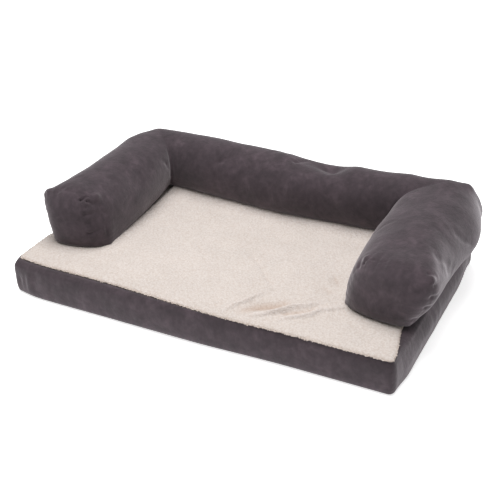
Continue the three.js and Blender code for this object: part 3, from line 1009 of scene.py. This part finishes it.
def back_point(out, up, t):
    """A point of the unstuffed back, from the left mitre at t 0 to the right mitre at t 1."""
    left, right = arm_point(-1, out, up, 1), arm_point(1, out, up, 1)
    middle = 1 - abs(2 * t - 1) ** 3
    rounding = mix(TUBE_ROUNDING, mix(ARM_FOOT_ROUNDING, BACK_FOOT_ROUNDING, middle), max(0, -up))
    z = height_in(mix(BACK["mitre_low"], BACK["low"], middle), BACK["high"], rounded(up, out, rounding))
    y = back_depth(out, up, mix(BACK["mitre_half"], BACK["half"], middle))
    y -= BACK["bow"] * math.sin(math.pi * t) ** 2 * (1.3 - up) / 2
    return mix(left[0], right[0], t), y, z


def flat_bolster():
    """The bolster's sewn panels before stuffing, as one closed mesh: its points, faces, the piece that
    each face belongs to, and the points at the corners of the end caps."""
    cells = GIRTH_CELLS
    ring = section_ring(cells)
    arm_steps = int(round((BACK_Y - ARMS[-1]["front"]) / CELL))
    back_steps = int(round((ARMS[1]["x"] - ARMS[-1]["x"]) / CELL))
    points = [arm_point(-1, a, b, i / arm_steps) for i in range(arm_steps + 1) for a, b in ring]
    points += [back_point(a, b, i / back_steps) for i in range(1, back_steps) for a, b in ring]
    points += [arm_point(1, a, b, i / arm_steps) for i in range(arm_steps, -1, -1) for a, b in ring]
    stations = len(points) // len(ring)
    faces = grid_faces(stations, len(ring), closed=True)
    names = (["left_arm_cover"] * arm_steps + ["back_cover"] * back_steps
             + ["right_arm_cover"] * arm_steps)
    owner = [PIECES.index(name) for name in names for _ in ring]
    corners = []
    for side, base in ((-1, 0), (1, (stations - 1) * len(ring))):
        corners += [base + k * cells for k in range(4)]
        index = {(round((a + 1) / 2 * cells), round((b + 1) / 2 * cells)): base + k
                 for k, (a, b) in enumerate(ring)}
        for i in range(cells + 1):
            for j in range(cells + 1):
                if (i, j) not in index:
                    index[i, j] = len(points)
                    points.append(arm_point(side, -1 + 2 * i / cells, -1 + 2 * j / cells, 0))
        for i in range(cells):
            for j in range(cells):
                faces.append((index[i, j], index[i + 1, j], index[i + 1, j + 1], index[i, j + 1]))
                owner.append(PIECES.index(SIDES[side] + "_end_cap"))
    return np.array(points), faces, owner, corners


def stuff(points, faces, owner):
    """Inflates the sewn panels with cloth simulation, their feet held to the mattress."""
    obj = make_object("bolster_panels", points, faces)
    for name in PIECES:
        obj.data.materials.append(bpy.data.materials.new(name + "_panel"))
    obj.data.polygons.foreach_set("material_index", owner)
    edit_mesh(obj, lambda mesh: bmesh.ops.recalc_face_normals(mesh, faces=mesh.faces))
    feet = obj.vertex_groups.new(name="feet")
    feet.add([int(i) for i in np.flatnonzero(points[:, 2] < BOLSTER_Z + 0.1 * MM)], 1.0, "ADD")
    cloth = obj.modifiers.new("cloth", "CLOTH")
    for setting, value in CLOTH.items():
        setattr(cloth.settings, setting, value)
    cloth.settings.effector_weights.gravity = 0
    cloth.point_cache.frame_start, cloth.point_cache.frame_end = 1, FRAMES
    for step in range(1, FRAMES + 1):
        bpy.context.scene.frame_set(step)
    apply_modifiers(obj)
    bpy.context.scene.frame_set(1)
    return obj


def nearest(points, targets):
    """The distance from each point to the line of targets, and the smoothed nearest place on it."""
    tree = tree_of(targets)
    distance, place = np.empty(len(points)), np.empty((len(points), 3))
    for i, point in enumerate(points):
        found = tree.find_n(point, 4)
        gaps = np.array([f[2] for f in found])
        weights = 1 / (gaps - gaps[0] + 0.5 * MM) ** 2
        distance[i] = gaps[0]
        place[i] = (np.array([f[0] for f in found]) * weights[:, None]).sum(0) / weights.sum()
    return distance, place


# Soft hollows in the stuffed bolster as (place, radius, depth), in millimetres. A negative depth is a
# lump.
HOLLOWS = [
    ((128, 244, 250), 40, 26),
    ((60, 248, 250), 50, 16),
    ((195, 240, 250), 34, -3),
    ((-50, 209, 250), 20, 3),
    ((-172, 165, 228), 15, 5),
    ((-140, 180, 240), 28, 3),
    ((60, 150, 180), 60, -4),
    ((210, 160, 170), 50, -3),
    ((-445, 175, 240), 45, -5),
    ((330, 235, 250), 70, -6),
    ((440, 270, 235), 60, -8),
    ((-420, 60, 250), 55, -2),
    ((-460, 275, 225), 40, 12),
    ((-330, 0, 200), 45, 3),
    ((470, 20, 235), 60, -3),
    ((440, -90, 250), 50, 3),
    ((530, -30, 170), 45, 3),
    ((550, 160, 172), 80, -18),
    ((530, 285, 205), 38, 6),
    ((-476, -185, 212), 24, -5),
    ((483, 285, 238), 15, -7),
]
# Short pinched creases as (start, end, width, depth), in millimetres. They are laid on the nearest
# place of the surface.
CREASES = [
    ((-90, 150, 225), (-40, 200, 252), 6, 2),
    ((-172, 158, 232), (-160, 175, 240), 5, 3.5),
    ((30, 225, 248), (45, 266, 246), 6, 6),
    ((125, 215, 238), (140, 262, 236), 8, 2.5),
    ((-325, 140, 210), (-318, 175, 150), 6, 1.5),
    ((-300, 155, 200), (-312, 180, 150), 6, 2),
    ((-377, -182, 222), (-364, -164, 230), 3.2, 8),
    ((-361, -173, 220), (-351, -167, 212), 3.2, 7),
    ((-362, -184, 205), (-343, -160, 213), 4, 4),
    ((-362, -187, 185), (-338, -162, 193), 4.5, 4),
    ((-355, -190, 165), (-336, -170, 172), 5, 2.5),
    ((-354, -190, 135), (-334, -172, 144), 4, 4),
    ((-478, -180, 226), (-470, -192, 214), 3.5, 4),
    ((-440, -185, 238), (-425, -160, 244), 7, 2),
    ((362, -157, 216), (376, -146, 226), 3.5, 4.5),
    ((356, -152, 200), (350, -130, 212), 5, 2.5),
    ((515, -166, 232), (532, -150, 226), 5, 2.6),
    ((530, -172, 212), (542, -145, 208), 5, 2),
    ((531, -180, 185), (544, -150, 180), 5, 3),
    ((524, -186, 155), (536, -160, 150), 5, 3),
    ((500, -190, 118), (512, -165, 112), 5, 2.5),
]


def crease_depth(points):
    """How deep the pinched creases are at each point. Each is deepest where it starts."""
    tree = tree_of(points)
    total = np.zeros(len(points))
    for start, end, width, depth in CREASES:
        start, end = Vector(start) * MM, Vector(end) * MM
        path = [tree.find(start.lerp(end, t))[0] for t in (0, 0.25, 0.5, 0.75, 1)]
        path = [place for k, place in enumerate(path) if k == 0 or (place - path[k - 1]).length > 0.5 * MM]
        away, share = along_path(points, np.array(path))
        total += depth * MM * bell(away, width * MM) * (0.35 + 0.65 * (1 - share))
    return total


INNER_CORNERS = [(-0.325, 0.165, 0.17), (0.330, 0.165, 0.17)]  # where the back meets the arms
EAR_LOWEST_Z = 0.2  # a cap's corner above this sticks out as an ear
FINE_CLOTH_Y = -0.10  # the cloth in front of this place has cells half the size
SEAM_SOFTENING = 60  # rounds of smoothing where the filling rounds off a sewn edge


def soften(obj, points, weights):
    """Smooths points along the mesh's edges, by weights from 0 to 1."""
    edges = np.empty(len(obj.data.edges) * 2, int)
    obj.data.edges.foreach_get("vertices", edges)
    a, b = edges.reshape(-1, 2).T
    count = np.bincount(a, minlength=len(points)) + np.bincount(b, minlength=len(points))
    for _ in range(SEAM_SOFTENING):
        total = np.stack([np.bincount(a, points[b, k], len(points))
                          + np.bincount(b, points[a, k], len(points)) for k in range(3)], 1)
        points = points + 0.5 * weights[:, None] * (total / count[:, None] - points)
    return points


def seam_points(obj):
    """The places where two of the sewn panels meet."""
    owners = [set() for _ in obj.data.vertices]
    for polygon in obj.data.polygons:
        for v in polygon.vertices:
            owners[v].add(polygon.material_index)
    return points_of(obj)[[len(o) > 1 for o in owners]]


def refine(obj, chosen):
    """Halves the mesh's cells between the chosen vertices."""
    def halve(mesh):
        edges = [e for e in mesh.edges if all(chosen[v.index] for v in e.verts)]
        bmesh.ops.subdivide_edges(mesh, edges=edges, cuts=1, use_grid_fill=True)
    edit_mesh(obj, halve)
    obj.data.update()


def distance_to(points, places):
    """How far each point is from the nearest of a few places."""
    return np.min([np.linalg.norm(points - np.array(place), axis=1) for place in places], axis=0)


def front_share(points):
    """1 at the end caps and 0 behind them."""
    return 1 - smooth_step(-0.10, -0.05, points[:, 1])


def free_share(points):
    """0 at the foot, which is sewn down, and 1 above it."""
    return smooth_step(BOLSTER_Z, BOLSTER_Z + 30 * MM, points[:, 2])


def soften_seams(obj):
    points = points_of(obj)
    distance, _ = nearest(points, seam_points(obj))
    reach = np.where(points[:, 0] < 0, 34 * MM, 22 * MM)  # the left cap's seam is the rounder one
    softness = bell(distance, reach) * free_share(points) * (0.25 + 0.75 * front_share(points))
    set_points(obj, soften(obj, points, softness))


def work_cloth(obj, corners):
    """Lumps of the filling, seams pulled in, gathers beside them, and the foot pressed flat."""
    points, normals = points_of(obj), normals_of(obj)
    distance, beside = nearest(points, seam_points(obj))
    to_corner = distance_to(points, points[corners])
    push = 2.6 * MM * noise(points, 120 * MM, 21) + 1.5 * MM * noise(points, 55 * MM, 22)
    push += 0.5 * MM * noise(points, 24 * MM, 23)
    for place, radius, depth in HOLLOWS:
        push -= depth * MM * bell(distance_to(points, [np.array(place) * MM]), radius * MM)
    push -= crease_depth(points)
    folds = noise(beside, 13 * MM, 24) + 0.5 * noise(beside, 6.5 * MM, 25)
    strength = 0.9 * MM + 1.7 * MM * bell(to_corner, 55 * MM)
    reach = 14 * MM + 16 * MM * bell(to_corner, 60 * MM)
    push += folds * strength * np.exp(-distance / reach) * smooth_step(0, 5 * MM, distance)
    groove = 0.5 * MM * (1 - 0.6 * front_share(points) * (points[:, 0] < 0))
    groove += 3.5 * MM * bell(distance_to(points, INNER_CORNERS), 60 * MM)
    push -= groove * bell(distance, 4.5 * MM)
    ears = [place for place in points[corners] if place[2] > EAR_LOWEST_Z]
    push += 6 * MM * bell(distance_to(points, ears), 11 * MM)
    points += normals * (push * free_share(points))[:, None]
    points[:, 2] = np.maximum(points[:, 2], BOLSTER_Z)
    set_points(obj, points)


def pick(obj, name, indices):
    """A new object with the faces of obj that have one of these material indices, and the normals that
    obj has there."""
    mine = [tuple(f.vertices) for f in obj.data.polygons if f.material_index in indices]
    used = sorted({v for f in mine for v in f})
    renumber = {v: k for k, v in enumerate(used)}
    piece = make_object(name, points_of(obj)[used], [[renumber[v] for v in f] for f in mine])
    return piece, normals_of(obj)[used]


# Each sewn panel's flat size.
CAP_SIZE, ARM_SIZE, BACK_SIZE = (160 * MM, 150 * MM), (580 * MM, 420 * MM), (540 * MM, 830 * MM)


def make_bolster():
    points, faces, owner, corners = flat_bolster()
    bolster = stuff(points, faces, owner)
    finer = bolster.modifiers.new("finer", "SUBSURF")
    finer.levels = finer.render_levels = 1
    apply_modifiers(bolster)
    soften_seams(bolster)
    refine(bolster, points_of(bolster)[:, 1] < FINE_CLOTH_Y)
    work_cloth(bolster, corners)
    for k, (name, flat_size) in enumerate(zip(PIECES, (CAP_SIZE, ARM_SIZE, BACK_SIZE, ARM_SIZE, CAP_SIZE))):
        cover, normals = pick(bolster, name + "_cloth", {k})
        cover = shell(cover, CLOTH_THICKNESS, SUEDE, normals)
        stand_for(cover, name)
    for name, indices in (("left_arm_fill", {0, 1}), ("back_fill", {2}), ("right_arm_fill", {3, 4})):
        filling = make_filling(*pick(bolster, name.split("_")[0] + "_filling", indices))
        stand_for(filling, name)
    bpy.data.objects.remove(bolster)


def make_filling(piece, normals):
    """Shrinks a copy of a cover to the fibre inside it, and closes its open ends."""
    points = points_of(piece) - normals * 6 * MM
    open_ends = boundary_mask(piece)
    inwards = points.mean(0) - points[open_ends]
    points[open_ends] += 7 * MM * inwards / np.linalg.norm(inwards, axis=1)[:, None]
    points[:, 2] = np.maximum(points[:, 2], BOLSTER_Z + 2.5 * MM)
    set_points(piece, points)

    def close(mesh):
        ends = bmesh.ops.holes_fill(mesh, edges=[e for e in mesh.edges if e.is_boundary], sides=0)
        bmesh.ops.triangulate(mesh, faces=ends["faces"])
        bmesh.ops.recalc_face_normals(mesh, faces=mesh.faces)
    edit_mesh(piece, close)
    return shell(piece, None, FIBRE)


# ---------- Zip ----------

COIL_PITCH = 2.4 * MM
COIL_WIRE = 0.42 * MM
STITCH_LENGTH, STITCH_PITCH = 2.5 * MM, 3.4 * MM


def make_coils():
    for row in ("upper", "lower"):
        low, high = local_box("zip_coil_" + row)
        middle, radius = (low + high) / 2, (high - low) / 2 - COIL_WIRE
        turns = (high[0] - low[0]) / COIL_PITCH
        angle = np.linspace(0, turns * 2 * math.pi, int(turns * 12))
        path = np.stack([np.linspace(low[0] + COIL_WIRE, high[0] - COIL_WIRE, len(angle)),
                         middle[1] + radius[1] * np.cos(angle), middle[2] + radius[2] * np.sin(angle)], 1)
        coil = make_object("zip_coil_" + row + "_loops", *tube(path, COIL_WIRE, (1, 0, 0)))
        stand_for(shell(coil, None, NYLON), "zip_coil_" + row)


def make_zip_backing():
    """A strip of cloth behind the zip, which keeps the foam from showing, and a suede tab past each
    end of its tapes."""
    low, high = local_box("zip_tape_upper")
    guard = box((ZIP_PANEL_LOW[0], low[1] - 1.85 * MM, ZIP_Z - 6 * MM),
                (ZIP_PANEL_HIGH[0], low[1] - 1.4 * MM, ZIP_Z + 6 * MM))
    ends = (ZIP_PANEL_LOW[0], low[0] - 0.4 * MM), (high[0] + 0.4 * MM, ZIP_PANEL_HIGH[0])
    tabs = [box((start, low[1] - 1.2 * MM, ZIP_Z - 6.4 * MM), (end, high[1] + 1.6 * MM, ZIP_Z + 6.4 * MM))
            for start, end in ends]
    shell(make_object("zip_guard", *guard), None, TAPE)
    shell(make_object("zip_end_tabs", *joined(tabs)), None, SUEDE)


def make_stitches():
    """A row of stitches along each boxing strip, beside the zip."""
    for row, offset in (("upper", 3.2 * MM), ("lower", -3.2 * MM)):
        strip = bpy.data.objects["rear_boxing_" + row + "_cloth"]
        surface = points_of(strip) - MIDDLE
        low, high = local_box("rear_boxing_" + row)
        height = (low[2] if row == "upper" else high[2]) + offset
        tree = tree_of(surface * (1, 0, 1))
        stitches = []
        for x in np.arange(low[0] + 12 * MM, high[0] - 12 * MM, STITCH_PITCH):
            y = surface[tree.find((x, 0, height))[1]][1]
            t = np.linspace(-1, 1, 5)
            path = np.stack([x + t * STITCH_LENGTH / 2, y + 0.28 * MM - 0.55 * MM * t ** 4,
                             np.full(5, height)], 1)
            stitches.append(tube(path, 0.33 * MM, (0, 0, 1)))
        thread = make_object("zip_stitching_" + row, *joined(stitches))
        shell(thread, None, THREAD)


def dress_cad():
    """Materials and softened edges for the CAD pieces that are shown as they are."""
    looks = {"zip_tape_upper": (TAPE, 0), "zip_tape_lower": (TAPE, 0), "zip_bottom_stop": (METAL, 0.3 * MM),
             "zip_top_stop": (METAL, 0.3 * MM), "zip_slider": (METAL, 0.22 * MM),
             "zip_pull": (METAL, 0.25 * MM), "bolster_join_strip": (SUEDE, 0)}
    for name, (material, width) in looks.items():
        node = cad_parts[name]
        node.data.materials.clear()
        node.data.materials.append(material)
        if width:
            bevel = node.modifiers.new("soft_edges", "BEVEL")
            bevel.width = width
            bevel.segments = 3
            bevel.limit_method = "ANGLE"
            bevel.angle_limit = math.radians(50)


make_camera()
make_stage()
make_boxing()
make_sleep_surface()
make_bottom()
make_foam()
make_bolster()
make_coils()
make_zip_backing()
make_stitches()
dress_cad()
